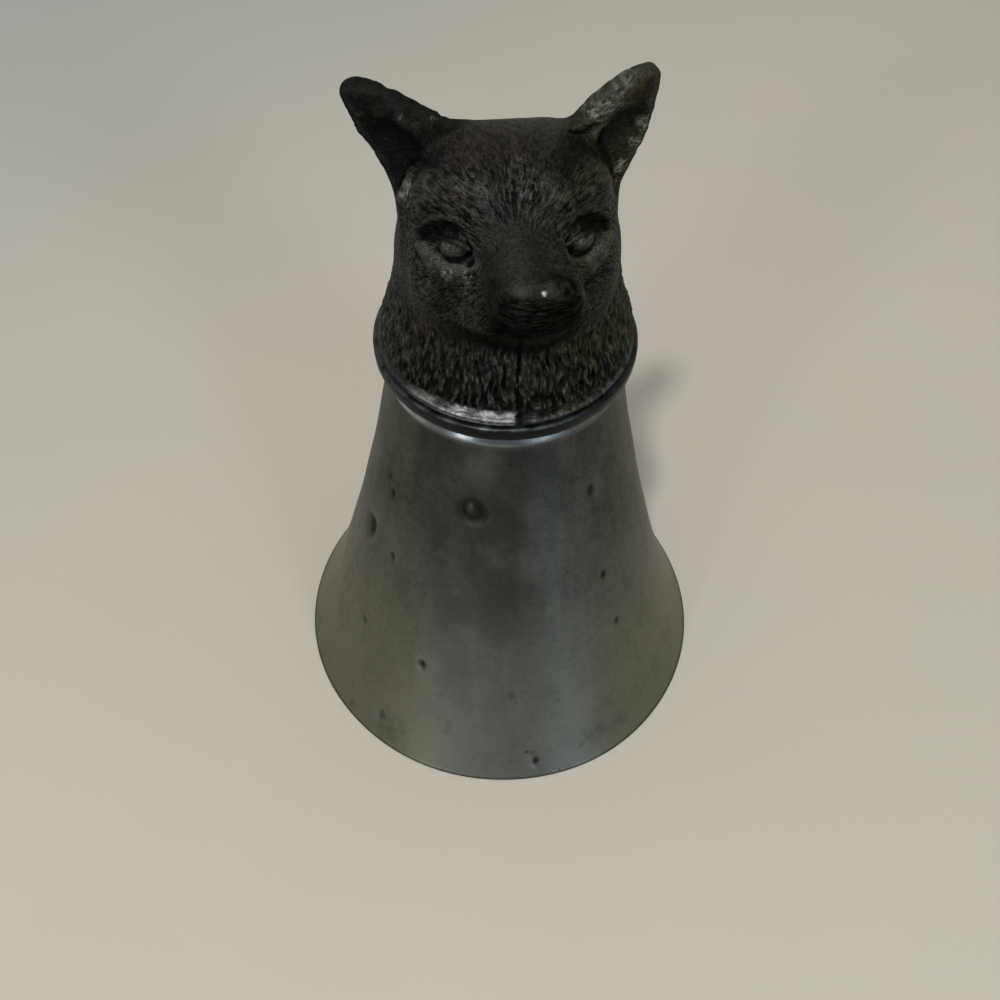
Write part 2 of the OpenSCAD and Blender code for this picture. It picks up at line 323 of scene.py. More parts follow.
# Cast head: brown-black patina, rubbed lighter on the raised fur, with painted shade in its creases, under
# the chin and on the muzzle's front, and a painted highlight on the nose
patina = {
    "deep": (0.0010, 0.0010, 0.0009, 1), "skin": (0.0150, 0.0145, 0.0125, 1),
    "worn": (0.056, 0.055, 0.049, 1), "bare": (0.29, 0.295, 0.29, 1),
    "gloss": 0.36, "matt": 0.54, "soot": 0.9, "metal": 0.90,
    "brown": (1.10, 0.96, 0.91, 1), "teal": (0.85, 1.0, 0.98, 1),  # tints, which multiply the colour
    "olive": (1.03, 1.07, 0.63, 1), "red": (1.32, 0.86, 0.88, 1),
    "redPatches": [((-2.6, -1.2, 70.2), 4.6, 1.0), ((-7.6, -7.2, 56.4), 1.8, 0.4)],  # place, two sizes
    "crust": (3.2, 3, 0.7), "mottle": (0.22, 4, 0.6), "fine": (2.2, 4, 0.65),  # noise: scale, detail, rough
    "lipStretch": (0.9, 0.9, 4.6), "ribStretch": (3.3, 1.2, 0.4),  # strokes on the lip, ribs on the ears
    "ribSlant": (0.4, 0.3), "flecks": 0.50,
    "dirt": 0.96, "sunkShadeAndPatina": 0.85, "gapDirt": 0.64, "hemDark": 0.6, "lipRub": 0.30,  # how black, at most; the mix carries painted shade as well as dirt
    "hemHeight": (55.0, 51.5), "hemFront": (-4.0, -8.0),  # the dark foot of the ruff
    "relief": 0.00016,
}


def earFlecks(place, worn):  # ribs of worn metal: slanted on the fox's left ear, upright on its right
    x, y, z = place.parts()
    left = x.ramp(-1.0, 1.0)
    slantLeft, slantRight = patina["ribSlant"]
    across = left * (z - x * slantLeft) + (1 - left) * (x - z * slantRight)
    along = left * (x + z * slantLeft) + (1 - left) * (z + x * slantRight)
    wide, long, deep = patina["ribStretch"]
    ribs = place.joined(across * wide, along * long, y * deep).noise(1.0, 2, 0.6)
    return worn.ramp(0.3, 1.8) * ribs.ramp(0.46, 0.62)


def sootOver(shader, dirt):  # matt black, mixed over the metal: dirt and painted shade
    look = {"Base Color": patina["deep"], "Roughness": patina["soot"], "Specular IOR Level": 0.0}
    soot = dirt.node("ShaderNodeBsdfPrincipled", {}, look)
    metal = Wire(dirt.tree, shader.outputs[0])
    coated = dirt.node("ShaderNodeMixShader", {}, {0: dirt, 1: metal, 2: soot})
    coated.into(next(n for n in dirt.tree.nodes if n.type == "OUTPUT_MATERIAL"), "Surface")


def headFinish():
    material, shader, place = newMaterial("headPatina", {
        "Metallic": patina["metal"], "Specular IOR Level": 0.35})
    x, y, z = place.parts()
    furry, bare, shelter, front, hollow, worn = (
        attribute(place, name) for name in ("furry", "bare", "shelter", "front", "hollow", "rubbed"))
    crust, mottle, fine = (place.noise(*patina[name]) for name in ("crust", "mottle", "fine"))
    strokes, low = furField(place)
    lipLines = place.vec("MULTIPLY", patina["lipStretch"]).noise(1.0, 3, 0.65).ramp(0.36, 0.66)
    rise = strokes * furry + (1 - furry) * 0.45
    rise = rise + (lipLines - rise) * front
    rub = rise.ramp(0.50, 1.0) * (0.15 + 0.45 * mottle.ramp(0.35, 0.65) + low * 0.65)
    flecks = earFlecks(place, worn)
    shine = bare.most(flecks)

    colour = (rise * 0.7 + fine * 0.3).ramp(0.18, 0.58, 0.04, 1.0).mixed(patina["deep"], patina["skin"])
    colour = rub.mixed(colour, patina["worn"])
    colour = (hollow.ramp(-0.01, -0.07) * 0.45).mixed(colour, patina["worn"])  # edges that stand out
    colour = (crust.ramp(0.56, 0.72) * 0.5).mixed(colour, patina["worn"])
    colour = (crust.ramp(0.46, 0.34) * 0.6).mixed(colour, patina["deep"])
    colour = (worn * (crust * 0.5 + fine * 0.5).ramp(0.44, 0.58) * 0.8).mixed(colour, patina["worn"])
    redPatch, redSpot = (ball(place, spot, 0.0).ramp(outer, inner)
                         for spot, outer, inner in patina["redPatches"])
    for tint, share in (
        ("brown", place.noise(0.35, 3, 0.6).ramp(0.48, 0.62)),
        ("teal", x.ramp(1.0, -4.0) * place.noise(0.30, 2, 0.5).ramp(0.52, 0.42)),
        ("olive", x.ramp(1.0, 6.5) * (mottle * 0.6 + fine * 0.4).ramp(0.36, 0.56)),
        ("red", redPatch.most(redSpot) * fine.ramp(0.36, 0.60)),
    ):
        colour = share.mixed(colour, patina[tint], "MULTIPLY")
    colour = bare.most(flecks * patina["flecks"]).mixed(colour, patina["bare"])
    colour.into(shader, "Base Color")
    rough = patina["matt"] - rub * (patina["matt"] - patina["gloss"]) - shine * 0.20
    (rough + (fine - 0.5) * 0.15).into(shader, "Roughness")
    bump(rise * (0.6 + low * 0.9) + fine * 0.15 + crust * (1.8 - furry * 0.8), shader, 0.8, patina["relief"])

    # dark patina and painted shade in the hollows
    sunk = hollow.ramp(0.02, 0.10) * patina["sunkShadeAndPatina"]
    gaps = (rise * 0.7 + fine * 0.3).ramp(0.42, 0.10) * patina["gapDirt"]
    # darker low on the front of the ruff, between its strokes
    hem = low * z.ramp(*patina["hemHeight"]) * y.ramp(*patina["hemFront"]) * strokes.ramp(0.85, 0.35)
    # painted shade on the muzzle's front, broken by lighter lip strokes
    lip = front * (1.0 - lipLines * patina["lipRub"])
    # painted shade and dirt, laid on as matt black
    dirt = shelter.most(sunk).most(gaps).most(hem * patina["hemDark"]).most(lip)
    sootOver(shader, dirt.least(patina["dirt"]) * (1.0 - shine))
    return material


# Solder that fills the joints: soft dull grey
solderLook = {"clean": (0.26, 0.27, 0.265, 1), "dark": (0.11, 0.11, 0.105, 1)}


def solderFinish():
    material, shader, place = newMaterial("dullSolder", {"Metallic": 1.0})
    blob = place.noise(1.1, 4, 0.6)
    blob.ramp(0.35, 0.65).mixed(solderLook["dark"], solderLook["clean"]).into(shader, "Base Color")
    (0.35 + blob * 0.3).into(shader, "Roughness")
    bump(blob, shader, 0.5, 0.0002)
    return material


bowlMaterial = bowlFinish()
collarMaterial = collarFinish()
headMaterial = headFinish()
solderMaterial = solderFinish()
print("materials ready:", len(bpy.data.materials))


# Turning on a lathe: each profile point becomes a ring about Z
def latheTree():
    tree, start = newTree("turned", [
        ("Profile", "Object"), ("Rings", "Int"), ("Segments", "Int"), ("Material", "Material")])
    outline = start.node("GeometryNodeObjectInfo", {}, {0: start.also("Profile")}, "Geometry")
    rings = start.also("Rings")
    segments = start.also("Segments")
    grid = start.node("GeometryNodeMeshGrid", {},
                      {"Size X": 1.0, "Size Y": 1.0, "Vertices X": rings, "Vertices Y": segments + 1})
    spot = start.node("GeometryNodeInputPosition")
    across, swing = spot.parts()[:2]
    row = ((across + 0.5) * (rings - 1)).math("ROUND")
    point = start.node("GeometryNodeSampleIndex", {"data_type": "FLOAT_VECTOR", "clamp": True},
                       {0: outline, 1: spot, 2: row})
    angle = (swing + 0.5) * (2 * math.pi)
    shape = grid.geo("SetPosition", Position=point.rotated("Z_AXIS", Angle=angle))
    endTree(shape.geo("MergeByDistance", Distance=1e-7), start)
    return tree


turnedTree = latheTree()


def turn(name, profile, segments, material):  # profile: (radius, height) in millimetres
    line = bpy.data.meshes.new(name + "Line")
    line.from_pydata([(0.0, -r * mm, z * mm) for r, z in profile], [], [])
    guide = bpy.data.objects.new(name + "Line", line)
    scene.collection.objects.link(guide)
    mesh = treeMesh(name, turnedTree, {
        "Profile": guide, "Rings": len(profile), "Segments": segments, "Material": material})
    bpy.data.objects.remove(guide)
    tidy = bmesh.new()
    tidy.from_mesh(mesh)
    bmesh.ops.recalc_face_normals(tidy, faces=tidy.faces)
    tidy.to_mesh(mesh)
    tidy.free()
    return mesh


def meshPoints(mesh):
    flat = np.zeros(len(mesh.vertices) * 3)
    mesh.vertices.foreach_get("co", flat)
    turnedOut = np.zeros(len(mesh.vertices) * 3)
    mesh.vertices.foreach_get("normal", turnedOut)
    return flat.reshape(-1, 3) / mm, turnedOut.reshape(-1, 3)


def setPoints(mesh, points):
    mesh.vertices.foreach_set("co", (points * mm).ravel())
    mesh.update()


# Bowl: a bell that stands on its mouth, walls hammered and pitted by use
bowl = {
    "rim": 24.0, "cone": 21.8, "neck": 11.1, "height": 47.6, "bow": 1.2, "flare": 8.0,  # outline
    "wall": 1.3, "floor": 1.6, "stub": 6.0, "lip": 0.35, "bend": 2.6,  # thicknesses, mouth edge, inner corner
    "topEdge": 0.25, "topCut": 0.07,  # rounding of the edge under the collar
    "segments": 400, "rows": 140, "shoulderRows": 26, "innerRows": 40,
    "waver": 0.14, "waverTop": 30.0,  # how far the mouth is out of round, and how high up
    "hammer": 0.05, "hammerTop": 46.0,  # shallow hammer marks
    "shoulder": (46.35, 0.46, 0.38),  # soldered swelling under the collar: height, half width, depth
    "shoulderLow": 44.6, "wallTop": 44.2,
    "pit": {"tall": 0.7, "uneven": 0.05, "reach": 0.9},  # pits run a little long, from neck to rim
    "struck": {"tall": 0.9, "uneven": 0.03, "reach": 1.25, "groove": 0.34, "chip": (0.26, 0.32, 0.36)},
    # angle from the front (to the fox's left is plus), height, width, depth, raised ring, grime
    "dents": [
        (-19.4, 37.5, 1.15, 0.34, 1.0, 1.0), (-72.8, 26.1, 1.10, 0.44, 0.0, 0.85),
        (-61.1, 34.1, 0.46, 0.18, 0.0, 0.75), (-55.0, 26.1, 0.46, 0.20, 0.0, 0.80),
        (-62.4, 13.4, 0.50, 0.14, 0.0, 0.60), (-34.1, 14.0, 0.48, 0.26, 0.0, 1.0),
        (5.0, 2.2, 0.50, 0.22, 0.0, 1.0), (36.4, 37.2, 0.65, 0.20, 0.0, 0.80),
        (37.9, 24.9, 0.50, 0.18, 0.0, 0.95), (40.9, 17.0, 0.46, 0.16, 0.0, 0.80),
        (-1.9, 12.0, 0.55, 0.12, 0.0, 0.50), (-44.8, 3.3, 0.60, 0.14, 0.0, 0.60),
        (4.0, 3.4, 0.26, 0.12, 0.0, 0.8), (118.0, 22.0, 0.80, 0.22, 0.5, 0.45),
        (160.0, 33.0, 0.55, 0.16, 0.0, 0.50), (205.0, 12.0, 0.70, 0.16, 0.0, 0.45),
        (240.0, 29.0, 0.45, 0.14, 0.0, 0.60), (142.0, 7.0, 0.50, 0.12, 0.0, 0.70),
        (185.0, 41.0, 0.40, 0.10, 0.0, 0.50),
    ],
    # angle, height, width, grime
    "stains": [(3.5, 44.6, 1.1, 0.45), (-40.7, 2.0, 1.4, 0.35), (33.2, 3.2, 1.0, 0.35),
               (150.0, 45.0, 1.4, 0.4), (25.5, 3.6, 1.3, 0.34), (29.5, 6.5, 1.2, 0.28)],
}


def bellRadius(z):
    share = np.clip(1 - z / bowl["height"], 0, 1)
    return (bowl["neck"] + (bowl["cone"] - bowl["neck"]) * share ** bowl["bow"]
            + (bowl["rim"] - bowl["cone"]) * math.exp(-z / bowl["flare"]))


def wallRadius(z):  # the outer wall with its soldered shoulder
    middle, half, depth = bowl["shoulder"]
    return bellRadius(z) + depth * math.exp(-((z - middle) / half) ** 2)


def innerRadius(z, step=0.01):  # the inner wall, an even thickness behind the outer one
    lean = (bellRadius(z + step) - bellRadius(z - step)) / (2 * step)
    return bellRadius(z) - bowl["wall"] * math.sqrt(1 + lean * lean)


def bellProfile():
    lip, high, stub, bend = bowl["lip"], bowl["height"], bowl["stub"], bowl["bend"]
    edge, cut = bowl["topEdge"], bowl["topCut"]
    line = [(stub, high), ((stub + bowl["neck"]) / 2, high)]
    line += [(bellRadius(high) - edge, high), (bellRadius(high) - cut, high - cut)]
    line += [(wallRadius(z), z) for z in np.linspace(high - edge, bowl["shoulderLow"], bowl["shoulderRows"])]
    line += [(wallRadius(z), z) for z in np.linspace(bowl["wallTop"], lip, bowl["rows"])]
    line += [(bowl["rim"] - lip * (1 - math.cos(a)), lip * (1 - math.sin(a)))
             for a in np.linspace(0.4, 1.55, 4)]
    foot = innerRadius(0.0)
    line += [(foot + lip * 0.8, 0.0), (foot + lip * 0.25, lip * 0.2)]
    top = high - bowl["floor"]
    turnIn = top - bend  # where the inner wall bends into the closed end
    line += [(innerRadius(z), z) for z in np.linspace(lip, turnIn, bowl["innerRows"])]
    corner = innerRadius(turnIn)
    line += [(corner - bend * (1 - math.cos(a)), turnIn + bend * math.sin(a))
             for a in np.linspace(0.2, 1.57, 7)]
    line += [((corner - bend) * share, top) for share in (0.75, 0.5, 0.25, 0.0)]
    return line


def aroundBell(points, angle, height):  # distances from a spot on the outer wall, across and up
    turnBack = np.arctan2(points[:, 0], -points[:, 1]) - math.radians(angle)
    turnBack = (turnBack + math.pi) % (2 * math.pi) - math.pi
    return turnBack * np.hypot(points[:, 0], points[:, 1]), points[:, 2] - height


def dentField(points, outer):  # how far each point of the outer wall sinks, and its grime
    sink, grime = np.zeros(len(points)), np.zeros(len(points))
    for angle, height, width, depth, ring, dirt in bowl["dents"]:
        mark = bowl["struck" if ring else "pit"]
        across, up = aroundBell(points, angle, height)
        along = up * mark["tall"]
        far = np.hypot(across, along) / width
        far = far * (1 + mark["uneven"] * np.sin(3 * np.arctan2(up, across) + angle))
        if ring:  # struck by a round tool: a groove about a knob, with one bright chip
            sink += np.where(outer, -depth * np.exp(-((far - 1.0) / mark["groove"]) ** 2), 0)
            shade = dirt * np.exp(-(far / mark["reach"]) ** 6) * (0.6 + 0.4 * np.minimum(far, 1))
            grime = np.maximum(grime, shade * outer)
            chipAcross, chipUp, chipSize = (share * width for share in mark["chip"])
            chip = np.hypot(across + chipAcross, along - chipUp) / chipSize
            grime = np.where(chip < 1.0, -ring * (1 - chip ** 2) * outer, grime)
        else:
            sink += np.where(outer, -depth * np.exp(-far ** 4), 0)
            grime = np.maximum(grime, dirt * np.exp(-(far / mark["reach"]) ** 4) * outer)
    for angle, height, width, dirt in bowl["stains"]:
        across, up = aroundBell(points, angle, height)
        ragged = 1 + 0.35 * np.sin(across * 3.1 + up * 1.7) + 0.25 * np.sin(up * 4.3 - across * 2.2)
        spread = np.hypot(across * 0.8, up) / (width * ragged)
        grime = np.maximum(grime, dirt * np.exp(-spread ** 2) * outer)
    return sink, grime


def makeBowl():
    mesh = turn("cupBowl", bellProfile(), bowl["segments"], bowlMaterial)
    points, outward = meshPoints(mesh)
    high = points[:, 2]
    radial = np.hypot(points[:, 0], points[:, 1])
    outer = (radial > np.array([bellRadius(z) for z in high]) - 0.3) & (high > 0.05)
    sink, grime = dentField(points, outer)
    angle = np.arctan2(points[:, 0], -points[:, 1])
    waver = bowl["waver"] * (np.sin(2 * angle + 0.9) * 0.6 + np.sin(3 * angle - 0.4) * 0.4 - 1.0)
    waver *= np.clip(1 - high / bowl["waverTop"], 0, 1) ** 2
    hammer = bowl["hammer"] * (np.sin(5 * angle + high * 0.21) * np.sin(high * 0.33 + 2 * angle))
    hammer = hammer * outer * np.clip((bowl["hammerTop"] - high) / 4, 0, 1)
    points += outward * (sink + hammer)[:, None]
    points[:, :2] *= (1 + waver / np.maximum(radial, 1))[:, None]
    points[:, 2] = np.maximum(points[:, 2], 0)
    setPoints(mesh, points)
    layer = mesh.attributes.new("grime", "FLOAT", "POINT")
    layer.data.foreach_set("value", grime.astype(np.float32))
    newPiece("cupBowl", mesh, "cup_bowl")


makeBowl()

# Collar: one bead soldered round the neck, nicked by handling
collar = {"low": 47.6, "thick": 1.8, "bead": 12.43, "bore": 6.15, "register": 8.58, "registerTop": 51.0,
          "edge": 0.34, "underFlat": 1.2, "topFlat": 0.8, "registerEdge": 0.2, "fillet": 0.1,
          "segments": 320, "nicks": 0.025, "nicksFrom": 11.4}


def makeCollar():
    low, top = collar["low"], collar["low"] + collar["thick"]
    bead, bore, register, registerTop = (collar[k] for k in ("bead", "bore", "register", "registerTop"))
    half, edge, cut = collar["thick"] / 2, collar["edge"], collar["registerEdge"]
    line = [(bore, registerTop), (bore, top), (bore, low), (bead - half - collar["underFlat"], low)]
    line += [(bead - half + half * math.cos(a), low + half + half * math.sin(a))
             for a in np.linspace(-math.pi / 2, 0, 10)]
    line += [(bead - edge + edge * math.cos(a), top - edge + edge * math.sin(a))
             for a in np.linspace(0, math.pi / 2, 8)]
    line += [(bead - half - collar["topFlat"], top), (register + cut, top),
             (register, top + collar["fillet"]), (register, registerTop - cut),
             (register - cut, registerTop), (bore, registerTop)]
    mesh = turn("collarRing", line, collar["segments"], collarMaterial)
    points, outward = meshPoints(mesh)
    angle = np.arctan2(points[:, 0], -points[:, 1])
    onBead = np.hypot(points[:, 0], points[:, 1]) > collar["nicksFrom"]
    rough = np.sin(angle * 17 + 1.1) * np.sin(angle * 7.3) + 0.6 * np.sin(angle * 41 + points[:, 2] * 5)
    points -= outward * (np.maximum(rough, 0) * collar["nicks"] * onBead)[:, None]
    setPoints(mesh, points)
    newPiece("collarRing", mesh, "collar_ring")


makeCollar()

# Head of the fox: cast in two halves, sculpted as one body of distances in millimetres
fox = {
    "voxel": 0.14, "quickVoxel": 1.6, "low": (-13.9, -13.6, 49.1), "high": (13.9, 11.8, 74.6),
    "bottom": 49.4, "cavity": ((0.0, 0.4, 49.0), (8.73, 8.4, 17.0)),
    "foot": 11.93, "footTop": 50.04, "footStep": 0.10, "footWaver": 0.16, "footEdge": 0.45, "footSoft": 0.2,
    "seamHalf": 0.42, "seamTop": (60.0, 57.5), "seamDepth": (2.0, -4.0, 0.08, 0.32),  # deeper in front
    "skull": ((0.0, -0.3, 62.6), (6.0, 7.7, 8.1)), "skullFlat": 3.0,
    "ruff": 11.2, "ruffTaperX": 0.165, "ruffTaperY": 0.262, "ruffBack": 0.024, "ruffSoft": 3.0,
    "ruffLow": 50.0, "ruffTop": 62.0,
    "hang": (0.55, 0.15), "hangHeight": (56.0, 51.0),  # longer fur low down: both sides, the fox's left
    # forms: how softly each runs into the rest, then its place and size
    "cheek": (2.5, (4.6, -5.0, 60.5), (3.8, 4.0, 4.6)),
    "muzzleRoot": (2.0, (0.3, -6.0, 62.6), (4.6, 3.2, 4.0)),
    "muzzle": (2.8, (1.25, -9.5, 62.8), (3.5, 3.2, 2.5), 1.9, (-18, 0, -10)),
    "chin": (0.8, (1.0, -9.2, 59.0), (2.9, 1.9, 1.9)),
    "flank": (2.2, (-2.5, -8.3, 60.9), (2.6, 2.6, 3.2)),
    "bridge": (2.6, (-0.2, -6.7, 64.9), (0.3, -10.8, 63.7), 2.3, 2.1),
    "lip": (0.5, (-1.6, -10.0, 60.4), (1.6, -11.0, 60.5), (4.4, -10.2, 60.9), 0.62),
    "nose": (1.0, (2.15, -11.8, 64.6), (1.85, 1.2, 1.15)),
    "mouth": (0.3, (-2.4, -10.3, 61.3), (1.4, -12.2, 61.35), (4.8, -10.6, 61.7), 0.20),
    "nostril": (0.25, (0.75, -13.35, 64.25), (1.45, -12.9, 63.85), 0.22, 0.12),
    "brow": (3.2, (2.8, -4.5, 68.4), (6.3, -3.1, 68.2), 1.2),
    "bag": (2.0, (4.0, -9.0, 62.8), (5.2, -8.6, 62.5), (7.0, -7.4, 62.8), 0.3, 0.75),
    "pouch": (0.9, (3.4, -8.05, 64.5), (5.4, -7.4, 63.95), (7.5, -5.75, 64.9), 0.85),
    "eyePit": (0.3, (4.95, -7.3, 65.6), (1.46, 1.05, 1.0), -25.0),
    "eyeCorner": (0.3, (3.9, -8.15, 65.1), 0.42),
    "crease": (0.4, (4.5, -7.15, 66.85), (5.9, -6.3, 66.75), (7.5, -5.0, 65.5), 0.74),
    "eye": (0.05, (4.95, -6.55, 65.55), (1.20, 1.15, 1.15), -25.0),
    "lid": (0.1, (3.8, -7.9, 66.0), (4.9, -7.45, 66.55), (6.3, -6.3, 66.1), 0.24),
    "earCrease": (0.15, (5.0, 0.35, 70.35), (7.1, 0.55, 70.5), 0.24, 0.34),
    "tuft": (1.1, (-7.5, -0.8, 67.7), (-8.4, -1.1, 66.2), 0.80, 0.55),  # worn, under the fox's right ear
    "earIn": (4.9, 1.6, 70.0), "earOut": (8.7, -0.4, 64.9), "earTip": (11.0, 3.2, 72.6),
    "earFace": (0.17, -0.945, 0.27), "earThick": 1.2, "earThicker": 0.12, "earThinning": (1.25, 0.50),
    "earShift": (0.13, 0.17), "earRight": (1.30, 0.83), "earLeft": (1.03, 0.60),  # width, loss to the tip
    "earSquare": 3.6, "earBlunt": 1.22, "earTop": 74.02, "earRightLower": 0.40, "tipSoft": 0.8,
    "earRoot": -0.5, "earSoft": 1.2, "earLean": (0.9, 0.35), "earLeanFrom": (66.0, 73.0),
    "earWaver": 0.22, "earWaverFrom": (66.0, 69.0),
    "earHollow": {"up": 0.30, "across": 0.38, "slant": 0.14, "out": 0.25, "tall": 0.62, "wide": 0.92,
                  "narrowing": 0.52, "deep": 1.45, "warp": 0.4, "steep": 1.1, "soft": 0.85},
    # worn spots: place, size, strength
    "rubs": [
        ((-11.6, 1.9, 71.7), 0.6, 0.8), ((-7.8, -1.6, 67.3), 1.3, 1.0), ((-8.4, -1.6, 66.3), 1.1, 1.0),
        ((-8.5, 1.6, 71.5), 0.6, 0.5), ((-7.3, 1.3, 71.0), 0.5, 0.5), ((-5.8, 1.6, 71.3), 0.6, 0.5),
        ((10.8, 1.4, 70.0), 1.0, 0.52), ((10.4, 0.85, 68.5), 1.1, 0.54), ((9.3, 0.3, 66.9), 1.1, 0.60),
        ((8.6, -0.4, 66.2), 0.7, 0.65), ((7.0, 1.2, 71.6), 0.9, 0.48), ((7.9, 1.6, 72.2), 0.7, 0.60),
        ((-6.9, -7.4, 63.9), 1.0, 0.45), ((-5.7, -8.3, 64.0), 1.1, 0.52), ((6.1, -8.1, 63.8), 0.9, 0.42),
        ((-4.2, -9.6, 62.8), 0.7, 0.30), ((-4.6, -9.9, 61.6), 0.7, 0.30), ((-4.2, -8.8, 64.1), 1.0, 0.42),
        ((5.5, -9.1, 60.3), 0.8, 0.32), ((5.6, -8.4, 58.1), 0.8, 0.28), ((0.3, -1.0, 70.3), 0.8, 0.26),
        ((0.4, -3.0, 70.2), 0.9, 0.28), ((0.5, -5.0, 69.9), 0.9, 0.26),
    ],
    # painted shade along a line: its ends, reach, strength
    "shades": [((5.6, 0.0, 70.2), (3.4, -4.4, 70.1), 1.8, 0.6),
               ((-5.9, -8.6, 62.3), (-6.1, -8.4, 61.2), 1.7, 0.55),
               ((3.1, -12.2, 65.3), (4.5, -11.2, 65.2), 1.7, 0.95)],
    "throat": ((1.3, -10.3, 58.7), (4.0, 2.4, 1.6)),
    "glint": (1.45, -12.6, 0.20), "glintAbove": (63.0, 63.5),  # a painted highlight on the nose: x, y, size
    "footLine": 49.84,  # height of a dark line in the bright ledge of the foot
    "crownSmooth": 0.52, "earSmooth": 0.85, "hollowBlur": 24,
}


def egg(p, centre, half, turned=0.0):  # near the surface this is close to the true distance
    away = p.vec("SUBTRACT", centre)
    if turned:
        away = away.rotated("Z_AXIS", Angle=math.radians(turned))
    near = away.vec("DIVIDE", half).vec("LENGTH")
    return near * (near - 1) / away.vec("DIVIDE", tuple(h * h for h in half)).vec("LENGTH")


def bar(p, a, b, ra, rb=None):  # a round bar from a to b, with its radius at each end
    rb = ra if rb is None else rb
    a, b = Vector(a), Vector(b)
    along = b - a
    away = p.vec("SUBTRACT", a)
    share = (away.vec("DOT_PRODUCT", along) / along.length_squared).most(0.0).least(1.0)
    nearest = p.node("ShaderNodeVectorMath", {"operation": "SCALE"}, {0: along, "Scale": share})
    return away.vec("SUBTRACT", nearest).vec("LENGTH") - (share * (rb - ra) + ra)


def arc(p, a, b, c, size, steps=4):  # a bar bent through three points, thinner at its ends
    a, b, c = Vector(a), Vector(b), Vector(c)
    pull = 2 * b - (a + c) / 2
    shares = [i / steps for i in range(steps + 1)]
    spots = [a * (1 - t) ** 2 + pull * 2 * t * (1 - t) + c * t * t for t in shares]
    sizes = [size * (0.6 + 1.6 * t * (1 - t)) for t in shares]
    shape = None
    for i in range(steps):
        piece = bar(p, spots[i], spots[i + 1], sizes[i], sizes[i + 1])
        shape = shape.least(piece, size * 0.3) if shape else piece
    return shape


def dip(p, a, b, c, core, away):  # felt round an arc only through its softness
    return arc(p, a, b, c, core) + away


def snout(p, centre, half, edge, tilt):  # rounded block, tilted by angles in degrees, with the chin under it
    local = p.vec("SUBTRACT", centre).rotated("EULER_XYZ", Rotation=[math.radians(a) for a in tilt])
    over = local.vec("ABSOLUTE").vec("SUBTRACT", [h - edge for h in half])
    a, b, c = over.parts()
    block = over.vec("MAXIMUM", (0, 0, 0)).vec("LENGTH") + a.most(b).most(c).least(0.0) - edge
    soft, *chin = fox["chin"]
    return block.least(egg(p, *chin), soft)


def earShape(q, side, z):  # a thick leaf, hollowed in front from its inner rim to its outer edge
    inRoot, outRoot, tip = (Vector(fox[k]) for k in ("earIn", "earOut", "earTip"))
    middle = (inRoot + outRoot) / 2
    up, across, face = tip - middle, (inRoot - outRoot) / 2, Vector(fox["earFace"]).normalized()
    solve = Matrix((up, across, face)).transposed().inverted()
    away = q.vec("SUBTRACT", middle)
    u, v, w = (away.vec("DOT_PRODUCT", row) for row in solve)  # up the ear, across it, out of its face
    left = side * 0.5 + 0.5  # the fox's left ear is broader and stands straighter than the right
    shift, leftShift = fox["earShift"]
    v = v - shift + left * leftShift
    (wide, loss), (leftWide, leftLoss) = fox["earRight"], fox["earLeft"]
    narrow = (wide - u * loss) * (1 - left) + (leftWide - u.most(0.0) ** 2.0 * leftLoss) * left
    narrow = narrow.most(0.15)
    rootThick, thinning = fox["earThinning"]
    thick = (fox["earThick"] + side * fox["earThicker"]) * (rootThick - u * thinning)
    square = fox["earSquare"]
    leaf = ((abs(v) / narrow) ** square + (abs(w) / thick) ** square) ** (1 / square)
    leaf = (leaf - 1) * thick * 0.9
    leaf = leaf.most((u - fox["earBlunt"]) * up.length, fox["tipSoft"])
    leaf = leaf.most(z - fox["earTop"] + (1 - left) * fox["earRightLower"], fox["tipSoft"])
    leaf = leaf.most((fox["earRoot"] - u) * up.length)
    dish = fox["earHollow"]
    warp = (q.noise(0.45, 2.0) - 0.5) * dish["warp"]
    hu = (u - dish["up"]) / dish["tall"]
    hv = (v + dish["across"] - u * dish["slant"] + warp) / (dish["wide"] - u * dish["narrowing"]).most(0.1)
    hw = (w - fox["earThick"] - dish["out"] + warp * 0.8) / dish["deep"]
    hollow = ((hu ** 2.0 + hv ** 2.0 + hw ** 2.0).math("SQRT") - 1) * dish["steep"]
    rim = v.ramp(0.1, 0.6) * leaf.ramp(0.5, 0.1) * u.ramp(0.0, 0.3)
    return leaf.most(-hollow, dish["soft"]), rim


